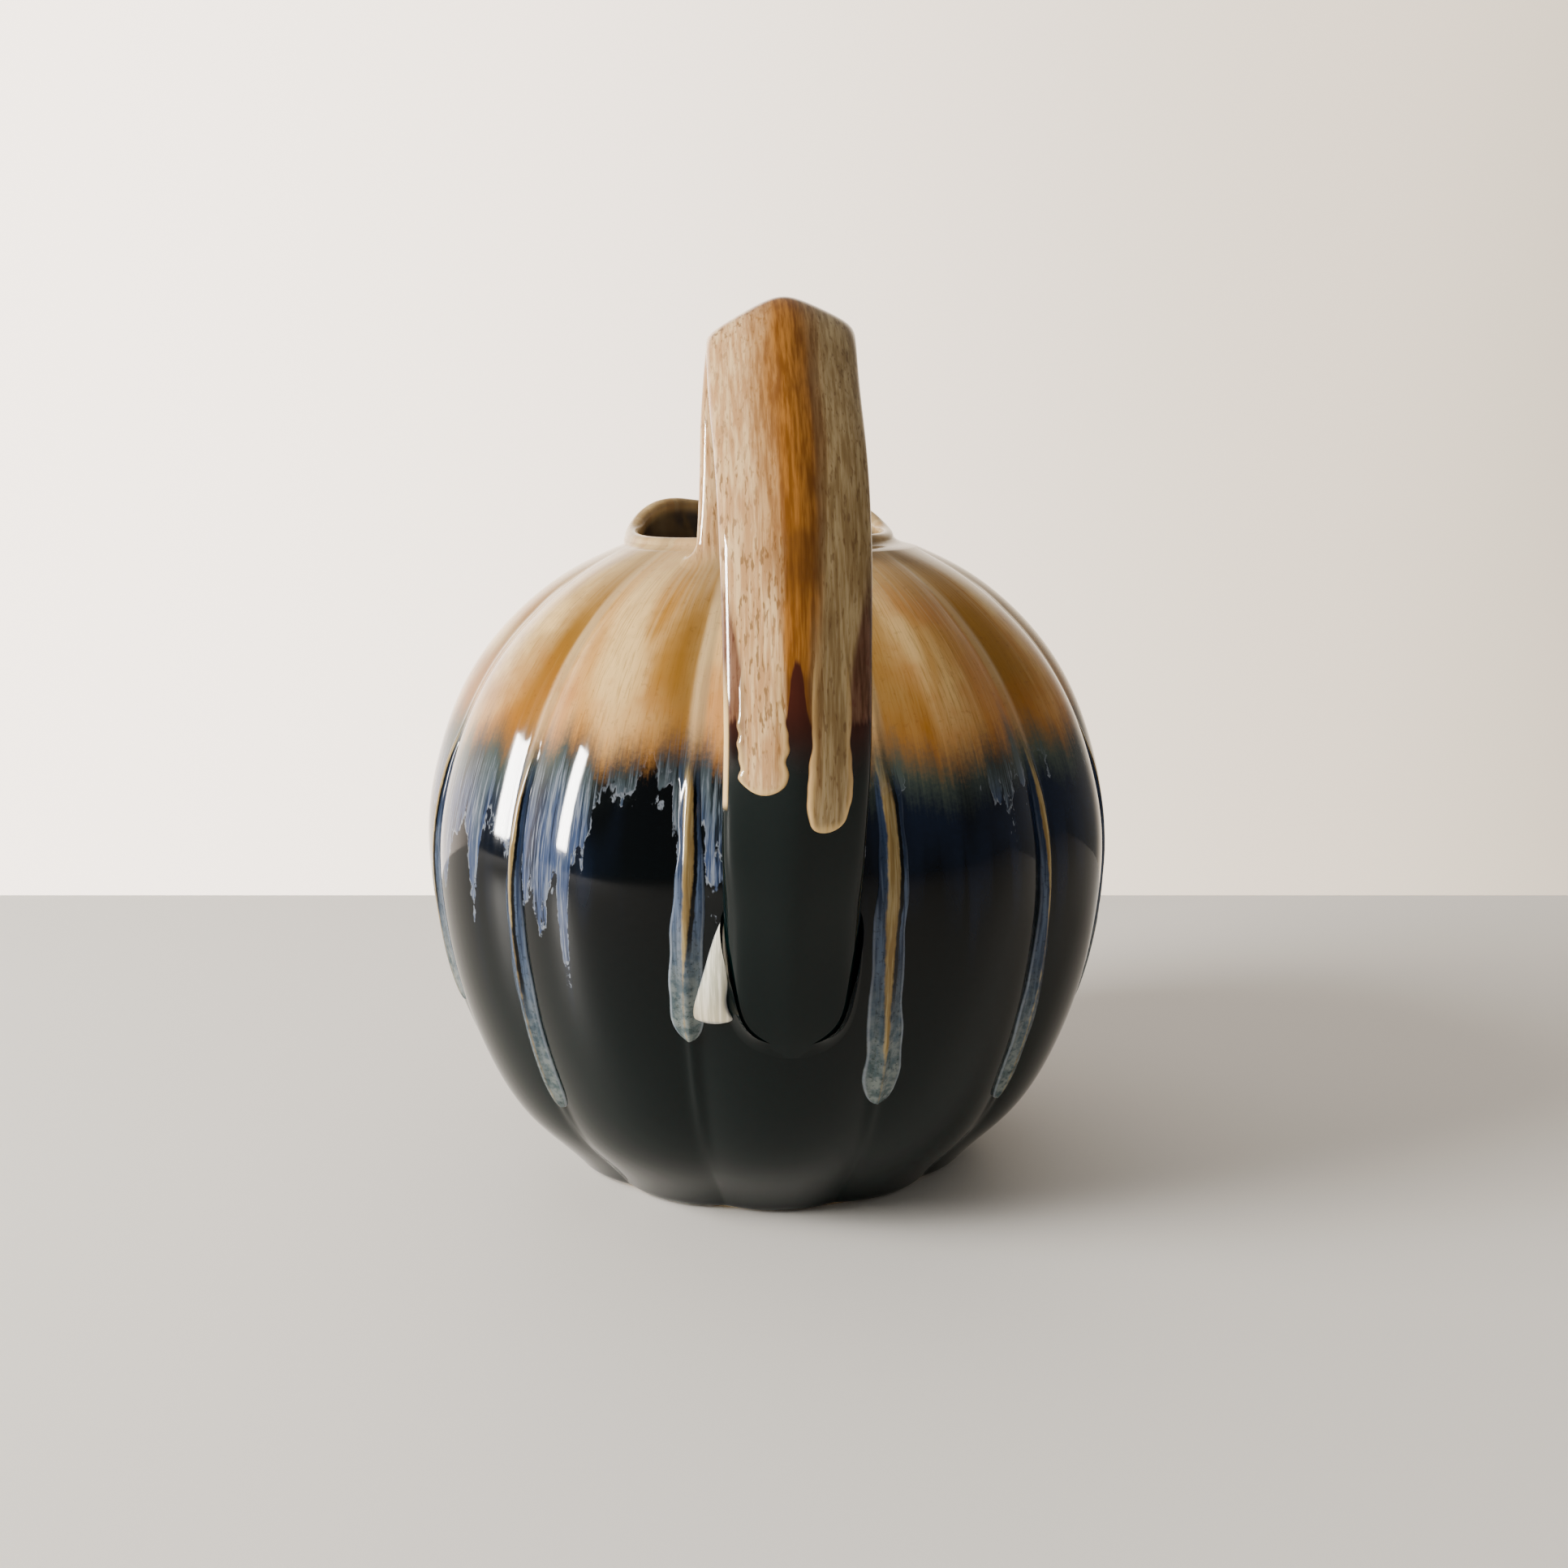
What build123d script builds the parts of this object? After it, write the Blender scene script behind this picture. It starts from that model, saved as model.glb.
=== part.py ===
from build123d import *
from math import cos, sin, radians
import os

os.makedirs("parts", exist_ok=True)

# Glazed stoneware jug in melon form: a twelve-lobed belly, a low mouth collar with a raised
# pouring side, and one strap handle that springs from the rim and comes down on the belly.
# Millimetres, +Z up. The origin is on the jug's axis, on the plane it stands on. The handle is
# towards -Y and the pouring side towards +Y.

# Body
BELLY_RADIUS = 85.0
LOBES = 12
LOBE_ANGLE = 360 / LOBES
FLOOR_TOP = 7.2
BODY_BOTTOM = 1.2
SHELL_TOP = 150.0
NECK_OUTER = 43.0
NECK_INNER = 30.0
# Height, radius over the lobe crests, depth of the grooves between the lobes
BODY_SECTIONS = [
    (BODY_BOTTOM, 52.8, 1.8),
    (17.2, 66.3, 2.4),
    (34.5, 76.0, 2.7),
    (51.7, 81.5, 2.8),
    (68.9, 84.6, 2.8),
    (86.2, 85.0, 2.8),
    (103.4, 81.4, 2.8),
    (120.6, 74.2, 2.6),
    (137.9, 60.2, 1.9),
    (SHELL_TOP, NECK_OUTER, 0.6),
]
FLOOR_RADIUS = 42.0
# Distance from the axis and height of the turned inside, from the floor's edge to the neck
CAVITY_LINE = [
    (FLOOR_RADIUS, FLOOR_TOP),
    (61.0, 20.0),
    (74.6, 51.7),
    (77.6, 86.2),
    (66.6, 120.6),
    (50.0, 139.5),
    (NECK_INNER, SHELL_TOP),
]
CAVITY_START = (1, 0.25)
CAVITY_END = (-1, 0.42)

# Foot, the disc of unglazed clay that the jug stands on
FOOT_RADIUS = 49.0
FOOT_ROUND = 0.5

# Mouth collar
RIM_RADIUS = 32.8
LIP_FLARE = 2.2
RIM_WALL = 3.8
RIM_SHIFT_X = -2.0
RIM_SHIFT_Y = 1.0
RIM_NEAR_Z = 156.0
COLLAR_ABOVE = 170.0
# Height, outer radius, wall across the level, and how far the circle's middle is off the axis
COLLAR_SECTIONS = [
    (SHELL_TOP, NECK_OUTER, NECK_OUTER - NECK_INNER, (0, 0)),
    (153.0, 36.4, 7.2, (-1.0, 0.4)),
    (RIM_NEAR_Z + 0.5, RIM_RADIUS, RIM_WALL, (RIM_SHIFT_X, RIM_SHIFT_Y)),
    (COLLAR_ABOVE, RIM_RADIUS + LIP_FLARE, RIM_WALL, (RIM_SHIFT_X, RIM_SHIFT_Y + LIP_FLARE)),
]
# The rim's top edge from the side: place along +Y and height, past the rim at both ends
RIM_SIDE = 60.0
RIM_LINE = [
    (-RIM_SIDE, RIM_NEAR_Z),
    (-12.0, 156.3),
    (12.0, 160.2),
    (25.0, 163.2),
    (36.0, 161.2),
    (RIM_SIDE, 157.0),
]

# Handle: distance in front of the axis, height, half width, rise of the outer ridge,
# depth of the inner face, all at the line where the strap is widest
HANDLE_STATIONS = [
    (30.0, 150.0, 17.5, 3.0, 5.5),
    (29.5, 167.0, 17.0, 4.8, 6.0),
    (29.8, 184.5, 16.6, 5.6, 6.5),
    (36.5, 198.4, 16.3, 6.8, 6.5),
    (49.0, 201.2, 16.0, 7.6, 6.5),
    (63.0, 191.4, 15.8, 7.0, 6.5),
    (77.0, 178.0, 15.4, 6.0, 6.5),
    (88.0, 160.0, 15.0, 6.0, 6.5),
    (93.8, 138.0, 14.7, 6.0, 6.5),
    (96.0, 114.0, 14.6, 6.0, 6.5),
    (92.5, 93.0, 14.4, 5.4, 6.0),
    (87.5, 76.0, 13.8, 4.6, 6.0),
    (84.2, 63.0, 12.4, 3.6, 5.0),
    (81.8, 54.5, 9.4, 2.6, 4.5),
    (80.6, 50.5, 4.5, 1.4, 3.5),
]
# Shares of the half width: the shoulders, the inner face, and the most that the ridge may take
HANDLE_SHOULDER = 0.86
INNER_HALF = 0.66
RIDGE_MOST = 0.4
RIDGE_HALF = 2.4
# Share of the rise left at the rounded ridge, and of the depth at which the sides are widest
RIDGE_EASE = 0.98
SIDE_DROP = 0.3
ROOT_LEAN = (0, 0, 1)
TONGUE_LEAN = (0, 0.3, -1)

# Clay slip that lutes the tongue on: how far it spreads, how deep it goes, how far the ridge
# is lowered under it, and over how many of the strap's last stations
LUTING_SPREAD = 2.6
LUTING_DROP = 1.5
LUTING_LOWER = 0.9
LUTING_STATIONS = 4

# Clay slip that lutes the root on: a block that narrows upwards, each end as length, width and
# corner radius, with its middle in front of the axis
ROOT_MIDDLE = 31.5
ROOT_BOTTOM = 147.0
ROOT_TOP = 161.0
ROOT_BASE = (42.0, 20.0, 6.0)
ROOT_UPPER = (35.5, 12.6, 5.0)
ROOT_CLEAR = 20.0

# Glaze runs in the grooves: azimuth from the handle, height of the lower end, width
RUN_TOP = 112.0
RUN_RISE = 0.9
RUN_FILL = 0.45
# Half width of a run as a share of its full width, where it starts and half way down
RUN_START = 0.3
RUN_MIDDLE = 0.36
# Runs and pool are cut out with an outline that starts this far out from the axis
OUTLINE_OUT = 38.0
GROOVE_RUNS = [
    (-15, 52.0, 7.4),
    (15, 35.0, 8.2),
    (-45, 28.0, 6.4),
    (45, 27.0, 6.4),
    (-75, 44.0, 6.0),
    (75, 38.0, 6.2),
    (-105, 33.0, 6.6),
    (105, 51.0, 6.0),
    (-135, 47.0, 6.4),
    (135, 30.0, 6.6),
    (-165, 36.0, 6.8),
    (165, 55.0, 6.2),
]

# Glaze drips on the handle's outer face: offset from its middle, height of the end, half width
DRIP_TOP = 134.0
DRIP_RISE = 0.8
DRIP_REACH = 42.0
HANDLE_DRIPS = {"left": (-6.8, 110.0, 4.9), "right": (6.9, 102.2, 4.4)}

# Cream glaze pool beside the handle's foot: across and up, narrow above and broad below
POOL_AZIMUTH = -11.6
POOL_OUTLINE = [
    (0.6, 80.0),
    (-1.2, 72.0),
    (-1.9, 64.0),
    (-4.2, 58.5),
    (-3.8, 55.4),
    (4.2, 54.0),
    (4.2, 74.0),
    (0.6, 80.0),
]


def lobed_section(height, crest, depth):
    """One level section of the belly: an arc over each lobe, meeting in sharp grooves."""
    half = radians(LOBE_ANGLE / 2)
    groove = crest - depth
    with BuildSketch(Plane.XY.offset(height)) as section:
        with BuildLine():
            for lobe in range(LOBES):
                middle = radians(lobe * LOBE_ANGLE)
                ThreePointArc(
                    (groove * cos(middle - half), groove * sin(middle - half)),
                    (crest * cos(middle), crest * sin(middle)),
                    (groove * cos(middle + half), groove * sin(middle + half)),
                )
        make_face()
    return section.sketch


def radial_plane(azimuth, distance=0):
    """Upright plane facing outwards at an azimuth counted from the handle, +X side positive."""
    angle = radians(azimuth)
    outward = Vector(sin(angle), -cos(angle), 0)
    return Plane(origin=outward * distance, x_dir=(cos(angle), sin(angle), 0), z_dir=outward)


def level_circle(height, radius, middle):
    """A level circle with its middle off the axis."""
    with BuildSketch(Plane.XY.offset(height)) as section:
        with Locations(middle):
            Circle(radius)
    return section.sketch


def strap_section(station, widen=0.0, lower=0.0, drop=0.0):
    """One section of the strap: flat inner face, round sides and a gabled outer face."""
    half = station["half"] + widen
    rise = station["rise"] - lower
    depth = station["depth"] + drop
    shoulder = half * HANDLE_SHOULDER
    shoulder_rise = rise * (1 - HANDLE_SHOULDER)
    ridge = min(RIDGE_HALF, half * RIDGE_MOST)
    ridge_rise = shoulder_rise + (rise - shoulder_rise) * (shoulder - ridge) / shoulder
    inner = half * INNER_HALF
    with BuildSketch(station["plane"]) as section:
        with BuildLine():
            Line((-inner, -depth), (inner, -depth))
            ThreePointArc((inner, -depth), (half, -depth * SIDE_DROP), (shoulder, shoulder_rise))
            Line((shoulder, shoulder_rise), (ridge, ridge_rise))
            ThreePointArc((ridge, ridge_rise), (0, rise * RIDGE_EASE), (-ridge, ridge_rise))
            Line((-ridge, ridge_rise), (-shoulder, shoulder_rise))
            ThreePointArc((-shoulder, shoulder_rise), (-half, -depth * SIDE_DROP), (-inner, -depth))
        make_face()
    return section.sketch


def handle_stations():
    """The strap's stations, each on the plane square to the line that it follows."""
    points = [Vector(0, -out, height) for out, height, *_ in HANDLE_STATIONS]
    path = Spline(*points, tangents=[ROOT_LEAN, TONGUE_LEAN])
    stations = []
    for point, (_, _, half, rise, depth) in zip(points, HANDLE_STATIONS):
        along = path.tangent_at(path.param_at_point(point))
        plane = Plane(origin=point, x_dir=(1, 0, 0), z_dir=along)
        stations.append({"plane": plane, "half": half, "rise": rise, "depth": depth})
    return stations


# The belly's outer form, solid, and the same form under a coat of glaze that half fills the
# grooves. Both are only used to shape the pieces below.
with BuildPart() as outer_form:
    loft(sections=[lobed_section(*level) for level in BODY_SECTIONS])

with BuildPart() as glazed_form:
    loft(
        sections=[
            lobed_section(height, crest + RUN_RISE, depth * (1 - RUN_FILL))
            for height, crest, depth in BODY_SECTIONS
        ]
    )

# Body shell: the lobed wall round a smooth turned cavity
with BuildPart() as body_shell:
    add(outer_form.part)
    with BuildSketch(Plane.XZ) as cavity_profile:
        with BuildLine():
            Line((0, FLOOR_TOP), (FLOOR_RADIUS, FLOOR_TOP))
            inside = Spline(*CAVITY_LINE, tangents=[CAVITY_START, CAVITY_END])
            Line(inside @ 1, (0, SHELL_TOP))
            Line((0, SHELL_TOP), (0, FLOOR_TOP))
        make_face()
    revolve(axis=Axis.Z, mode=Mode.SUBTRACT)
body_shell.part.label = "body_shell"
export_step(body_shell.part, "parts/body_shell.step")

# Foot disc under the floor, flat where it stands and rounded at its lower edge
with BuildPart() as foot_disc:
    with BuildSketch():
        Circle(FOOT_RADIUS)
    extrude(amount=BODY_BOTTOM)
    fillet(foot_disc.edges().group_by(Axis.Z)[0], radius=FOOT_ROUND)
foot_disc.part.label = "foot_disc"
export_step(foot_disc.part, "parts/foot_disc.step")

# Mouth collar: sweeps in from the shoulder and turns up into a low lip. Its rim is level on the
# handle's side and rises to a pouring side with a shallow dip in the middle.
with BuildPart() as mouth_collar:
    loft(
        sections=[
            level_circle(height, radius, middle) for height, radius, _, middle in COLLAR_SECTIONS
        ]
    )
    loft(
        sections=[
            level_circle(height, radius - wall, middle)
            for height, radius, wall, middle in COLLAR_SECTIONS
        ],
        mode=Mode.SUBTRACT,
    )
    with BuildSketch(Plane.YZ.offset(-RIM_SIDE)) as above_rim:
        with BuildLine():
            rim_line = Spline(*RIM_LINE)
            Polyline(
                rim_line @ 1,
                (RIM_SIDE, COLLAR_ABOVE + RIM_WALL),
                (-RIM_SIDE, COLLAR_ABOVE + RIM_WALL),
                rim_line @ 0,
            )
        make_face()
    extrude(amount=2 * RIM_SIDE, mode=Mode.SUBTRACT)
mouth_collar.part.label = "mouth_collar"
export_step(mouth_collar.part, "parts/mouth_collar.step")

# Handle: one pulled strap, from the rim over the crest and down on to the belly
stations = handle_stations()
with BuildPart() as strap_form:
    loft(sections=[strap_section(station) for station in stations])

with BuildPart() as handle:
    add(strap_form.part)
    add(outer_form.part, mode=Mode.SUBTRACT)
    add(mouth_collar.part, mode=Mode.SUBTRACT)
handle.part.label = "handle"
export_step(handle.part, "parts/handle.step")

# Lower luting: a low fillet of slip round the strap's tongue on the belly
with BuildPart() as lower_luting:
    loft(
        sections=[
            strap_section(station, LUTING_SPREAD, station["rise"] * LUTING_LOWER, LUTING_DROP)
            for station in stations[-LUTING_STATIONS:]
        ]
    )
    add(outer_form.part, mode=Mode.SUBTRACT)
    add(strap_form.part, mode=Mode.SUBTRACT)
lower_luting.part.label = "lower_luting"
export_step(lower_luting.part, "parts/lower_luting.step")

# Upper luting: slip smoothed round the strap's root where it stands on the collar and shoulder
with BuildPart() as upper_luting:
    with BuildSketch(Plane.XY.offset(ROOT_BOTTOM)):
        with Locations((0, -ROOT_MIDDLE)):
            RectangleRounded(*ROOT_BASE)
    with BuildSketch(Plane.XY.offset(ROOT_TOP)):
        with Locations((0, -ROOT_MIDDLE)):
            RectangleRounded(*ROOT_UPPER)
    loft()
    with BuildSketch(Plane.XY.offset(ROOT_BOTTOM - 1)):
        with Locations((RIM_SHIFT_X, RIM_SHIFT_Y)):
            Circle(RIM_RADIUS - RIM_WALL)
    extrude(amount=ROOT_CLEAR, mode=Mode.SUBTRACT)
    add(outer_form.part, mode=Mode.SUBTRACT)
    add(mouth_collar.part, mode=Mode.SUBTRACT)
    add(strap_form.part, mode=Mode.SUBTRACT)
upper_luting.part.label = "upper_luting"
export_step(upper_luting.part, "parts/upper_luting.step")


def run_outline(plane, top, end, width):
    """A run's outline: narrow where it starts, swelling to a round drop at its lower end."""
    start = RUN_START * width
    middle = RUN_MIDDLE * width
    drop = width / 2
    half_way = (top + end) / 2
    with BuildSketch(plane) as outline:
        with BuildLine():
            left = Spline((-start, top), (-middle, half_way), (-drop, end + drop))
            ThreePointArc(left @ 1, (0, end), (drop, end + drop))
            right = Spline((drop, end + drop), (middle, half_way), (start, top))
            Line(right @ 1, left @ 0)
        make_face()
    return outline.sketch


def solid_run(form, inner, plane, outline, reach):
    """The part of a coat over the inner form that lies within an outline seen square on."""
    with BuildPart() as piece:
        extrude(outline, amount=reach, dir=plane.z_dir)
        add(form, mode=Mode.INTERSECT)
        add(inner, mode=Mode.SUBTRACT)
    return piece.part


# Glaze runs standing proud in the grooves, one to a groove
groove_runs = []
for number, (azimuth, end, width) in enumerate(GROOVE_RUNS, start=1):
    plane = radial_plane(azimuth, OUTLINE_OUT)
    outline = run_outline(plane, RUN_TOP, end, width)
    run = solid_run(glazed_form.part, outer_form.part, plane, outline, BELLY_RADIUS)
    run = run - strap_form.part - lower_luting.part
    run.label = f"groove_glaze_run_{number:02d}"
    export_step(run, f"parts/{run.label}.step")
    groove_runs.append(run)

# Two glaze drips standing proud on the handle's outer face
with BuildPart() as glazed_strap:
    loft(
        sections=[
            strap_section(station, widen=DRIP_RISE, lower=-DRIP_RISE) for station in stations
        ]
    )

for side, (offset, end, half) in HANDLE_DRIPS.items():
    plane = Plane(origin=(offset, -BELLY_RADIUS, 0), x_dir=(1, 0, 0), z_dir=(0, -1, 0))
    outline = run_outline(plane, DRIP_TOP, end, 2 * half)
    drip = solid_run(glazed_strap.part, strap_form.part, plane, outline, DRIP_REACH)
    drip = drip.solids().sort_by(SortBy.VOLUME)[-1]
    drip.label = f"handle_glaze_drip_{side}"
    export_step(drip, f"parts/{drip.label}.step")

# Cream glaze pool that slid down the belly beside the handle's foot
plane = radial_plane(POOL_AZIMUTH, OUTLINE_OUT)
with BuildPart() as cream_glaze_pool:
    with BuildSketch(plane):
        with BuildLine():
            Polyline(*POOL_OUTLINE)
        make_face()
    extrude(amount=BELLY_RADIUS)
    add(glazed_form.part, mode=Mode.INTERSECT)
    add(outer_form.part, mode=Mode.SUBTRACT)
    add(strap_form.part, mode=Mode.SUBTRACT)
    add(lower_luting.part, mode=Mode.SUBTRACT)
    add(groove_runs[0], mode=Mode.SUBTRACT)
cream_glaze_pool.part.label = "cream_glaze_pool"
export_step(cream_glaze_pool.part, "parts/cream_glaze_pool.step")
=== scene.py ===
import math

import bpy
import numpy as np
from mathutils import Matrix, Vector
from mathutils.bvhtree import BVHTree


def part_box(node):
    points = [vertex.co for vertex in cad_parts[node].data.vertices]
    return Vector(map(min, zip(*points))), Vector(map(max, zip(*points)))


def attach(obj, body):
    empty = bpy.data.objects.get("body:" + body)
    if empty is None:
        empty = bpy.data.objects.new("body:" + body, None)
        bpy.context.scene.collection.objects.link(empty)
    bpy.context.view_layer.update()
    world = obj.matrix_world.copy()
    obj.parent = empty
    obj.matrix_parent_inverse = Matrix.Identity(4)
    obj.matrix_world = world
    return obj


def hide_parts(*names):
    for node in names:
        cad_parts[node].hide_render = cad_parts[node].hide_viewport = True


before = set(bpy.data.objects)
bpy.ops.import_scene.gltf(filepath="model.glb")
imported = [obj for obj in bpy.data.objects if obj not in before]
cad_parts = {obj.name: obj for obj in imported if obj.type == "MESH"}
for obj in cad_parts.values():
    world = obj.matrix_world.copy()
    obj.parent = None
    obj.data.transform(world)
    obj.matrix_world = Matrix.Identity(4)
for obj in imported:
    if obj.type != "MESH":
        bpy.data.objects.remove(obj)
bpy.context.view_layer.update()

body_low, body_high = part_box("body_shell")
BELLY = (body_high.x - body_low.x) / 2
MM = 1e-3 / BELLY

LOBES = 12
LOBE = 2 * math.pi / LOBES
COLUMNS_PER_LOBE = 46
GROOVE_SOFTNESS = 0.03

# A low bead stands along the bottom of every groove
BEAD_PROUD = 0.0095
BEAD_HALF = 0.016

# Belly: distance from the axis and height over the lobe crests, from the foot to the shoulder
WALL_LINE = [
    (0.568, 0.010), (0.604, 0.012), (0.6230, 0.030), (0.7830, 0.2028), (0.8938, 0.4055),
    (0.9591, 0.6083), (0.9940, 0.8110), (1.0, 1.0138), (0.9579, 1.2166), (0.8733, 1.4193),
    (0.7104, 1.6221), (0.560, 1.732), (0.432, 1.793),
]
GROOVE_DEPTHS = [
    (0.0, 0.021), (0.20, 0.028), (0.41, 0.032), (1.2, 0.036), (1.42, 0.041), (1.62, 0.039),
    (1.70, 0.028), (1.765, 0.012), (1.793, 0.002), (1.82, 0.0),
]
NECK_Z = 1.793
NECK_R = 0.432

# Mouth
RIM_MIDDLE = (-0.0235, 0.014, 0.0)
RIM_R = 0.366
RIM_WALL = 3.8 * MM
RIM_HEIGHTS = [(-1.0, 1.836), (-0.1, 1.844), (0.2, 1.865), (0.45, 1.899), (0.78, 1.920), (1.0, 1.900)]
LIP_PULL = 0.035
THROAT_R, THROAT_Z = 0.352, 1.75
COLLAR_ROWS, ROLL_ROWS, THROAT_ROWS = 30, 12, 15

# Handle: distance in front of the axis, height, half width, rise of the ridge, depth of the inner
# face, each at the line where the strap is widest
STRAP = [
    (0.385, 1.735, 0.212, 0.020, 0.055),
    (0.362, 1.850, 0.205, 0.036, 0.068),
    (0.346, 1.975, 0.199, 0.056, 0.073),
    (0.351, 2.165, 0.195, 0.066, 0.077),
    (0.432, 2.330, 0.191, 0.080, 0.077),
    (0.575, 2.363, 0.188, 0.090, 0.077),
    (0.742, 2.250, 0.185, 0.082, 0.077),
    (0.905, 2.095, 0.181, 0.070, 0.077),
    (1.035, 1.880, 0.177, 0.070, 0.077),
    (1.103, 1.625, 0.173, 0.070, 0.077),
    (1.130, 1.340, 0.171, 0.068, 0.077),
    (1.088, 1.090, 0.168, 0.062, 0.070),
    (1.026, 0.895, 0.163, 0.048, 0.070),
    (0.986, 0.740, 0.153, 0.031, 0.060),
    (0.960, 0.640, 0.130, 0.019, 0.055),
    (0.942, 0.585, 0.088, 0.012, 0.050),
]
STRAP_ROWS = 330
SECTION_RADII = [0.075, 0.095, 0.045, 0.045, 0.075]
LEFT_EDGE_SET_BACK = 0.026

# Drips on the strap: middle and half width as shares of its half width, lower end, random seed
STRAP_DRIPS = {"left": (-0.46, 0.33, 1.290, 70), "right": (0.47, 0.30, 1.200, 71)}
DRIP_TOP = 1.66
DRIP_STRAP_HALF = 0.171

# Glaze runs in the grooves: azimuth in degrees from the handle, lower end, half width in mm,
# how far down the tan core reaches
GROOVE_RUNS = [
    (-15, 0.615, 4.3, 0.66),
    (15, 0.415, 4.7, 0.80),
    (-45, 0.325, 3.6, 0.42),
    (45, 0.320, 3.4, 0.45),
    (-75, 0.520, 3.3, 0.70),
    (75, 0.450, 3.4, 0.60),
    (-105, 0.390, 3.6, 0.55),
    (105, 0.600, 3.3, 0.80),
    (-135, 0.550, 3.6, 0.70),
    (135, 0.350, 3.7, 0.50),
    (-165, 0.420, 3.8, 0.60),
    (165, 0.650, 3.4, 0.85),
]
RUN_SEED = 40
RUN_TOP = 1.36
RUN_TIP = 2.0

# How deep the edges of the glaze masses and of the joints sit in the surface under them
GLAZE_SINK = 0.05 * MM
JOINT_SINK = 0.0016
TONGUE_SINK = 0.0012

# How far the joints' slip reaches from the line of contact, and how much that line is smoothed
TONGUE_REACH, TONGUE_SMOOTHING = 0.030, 1
ROOT_REACH, ROOT_SMOOTHING, ROOT_ROWS_UP = 0.070, 8, 7


def spline(knots, values, at):
    """Natural cubic spline through the knots, for one column of values or several."""
    knots, values = np.asarray(knots, float), np.asarray(values, float)
    gaps = np.diff(knots)
    system = np.eye(len(knots))
    right = np.zeros_like(values)
    for i in range(1, len(knots) - 1):
        system[i, i - 1:i + 2] = gaps[i - 1], 2 * (gaps[i - 1] + gaps[i]), gaps[i]
        right[i] = 6 * ((values[i + 1] - values[i]) / gaps[i] - (values[i] - values[i - 1]) / gaps[i - 1])
    bend = np.linalg.solve(system, right)
    at = np.asarray(at, float)
    span = np.clip(np.searchsorted(knots, at) - 1, 0, len(gaps) - 1)
    gap, ahead, behind = gaps[span], knots[span + 1] - at, at - knots[span]
    if values.ndim > 1:
        gap, ahead, behind = gap[:, None], ahead[:, None], behind[:, None]
    return (
        (bend[span] * ahead**3 + bend[span + 1] * behind**3) / (6 * gap)
        + (values[span] / gap - bend[span] * gap / 6) * ahead
        + (values[span + 1] / gap - bend[span + 1] * gap / 6) * behind
    )


def along(points):
    """Distance travelled at each point of a line."""
    steps = np.linalg.norm(np.diff(points, axis=0), axis=1)
    return np.concatenate([[0], np.cumsum(steps)])


def smooth_step(x, low, high):
    """0 at low and 1 at high, with a soft start and end."""
    t = np.clip((np.asarray(x, float) - low) / (high - low), 0, 1)
    return t * t * (3 - 2 * t)


def dome(across):
    """Height of a half circle at a place across it, from -1 to 1."""
    return np.sqrt(np.clip(1 - across**2, 0, 1))


def ring_smooth(values, passes):
    """Values round a closed line, each drawn towards its neighbours."""
    for _ in range(passes):
        values = (np.roll(values, 1, 0) + 2 * values + np.roll(values, -1, 0)) / 4
    return values


def waves(seed, count, lowest, highest):
    """A fixed set of sine waves round the jug and up it, for the unevenness of hand work."""
    rng = np.random.default_rng(seed)
    turns = rng.integers(lowest, highest, count)
    rises = rng.uniform(-highest, highest, count) * 0.5
    phases = rng.uniform(0, 2 * math.pi, count)

    def value(angle, height):
        total = 0
        for turn, rise, phase in zip(turns, rises, phases):
            total = total + np.sin(turn * angle + rise * height + phase)
        return total / math.sqrt(count)

    return value


WOBBLE = 0.0016
HAND_WOBBLE = waves(3, 9, 1, 7)
LINE_WOBBLE = waves(11, 10, 3, 26)


# ---------------------------------------------------------------- belly and mouth

def lobe_fall(angle, softness=GROOVE_SOFTNESS):
    """0 on a lobe's crest, 1 in the groove beside it, round over the lobe and sharp in the groove."""
    from_crest = np.abs((angle + LOBE / 2) % LOBE - LOBE / 2) / (LOBE / 2)
    from_groove = np.sqrt((1 - from_crest) ** 2 + softness**2) / math.sqrt(1 + softness**2)
    return (1 - from_groove) ** 2


WALL_POINTS = np.array(WALL_LINE)
WALL_WAY = along(WALL_POINTS)
WALL_CURVE = spline(WALL_WAY, WALL_POINTS, np.linspace(0, WALL_WAY[-1], 2000))
ABOVE_FOOT = WALL_CURVE[:, 1] >= 0.03


def crest_radius(height):
    """Distance from the axis to a lobe's crest."""
    return np.interp(height, WALL_CURVE[ABOVE_FOOT, 1], WALL_CURVE[ABOVE_FOOT, 0])


def groove_depth(height):
    """How far the bottom of a groove lies inside the crests."""
    heights, depths = zip(*GROOVE_DEPTHS)
    return np.interp(height, heights, depths)


def groove_offset(angle):
    """Angle from the nearest groove, growing away from the handle."""
    off = angle % LOBE - LOBE / 2
    return np.where((angle + math.pi) % (2 * math.pi) < math.pi, -off, off)


def bead(angle, radius, height):
    """How far the bead in a groove stands up."""
    fade = smooth_step(height, 0.08, 0.5) * (1 - smooth_step(height, 1.62, 1.74))
    return BEAD_PROUD * fade * np.exp(-((groove_offset(angle) * radius / BEAD_HALF) ** 2))


def belly_radius(angle, height, softness=GROOVE_SOFTNESS):
    """Distance of the belly's surface from the axis."""
    crest = crest_radius(height)
    return (
        crest
        - groove_depth(height) * lobe_fall(angle, softness)
        + bead(angle, crest, height)
        + WOBBLE * HAND_WOBBLE(angle, height * 3)
    )


def placed(angle, radius, height):
    """Points from azimuth (0 at the handle, growing towards +X), radius and height."""
    return np.stack(np.broadcast_arrays(radius * np.sin(angle), -radius * np.cos(angle), height), -1)


def column_angles():
    """Azimuths of the grid's columns, closer together in the grooves."""
    step = np.linspace(-1, 1, COLUMNS_PER_LOBE + 1)[:-1]
    within = step * (1.33 - 0.33 * step**2) * LOBE / 2
    return np.concatenate([lobe * LOBE + within for lobe in range(LOBES)])


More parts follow.
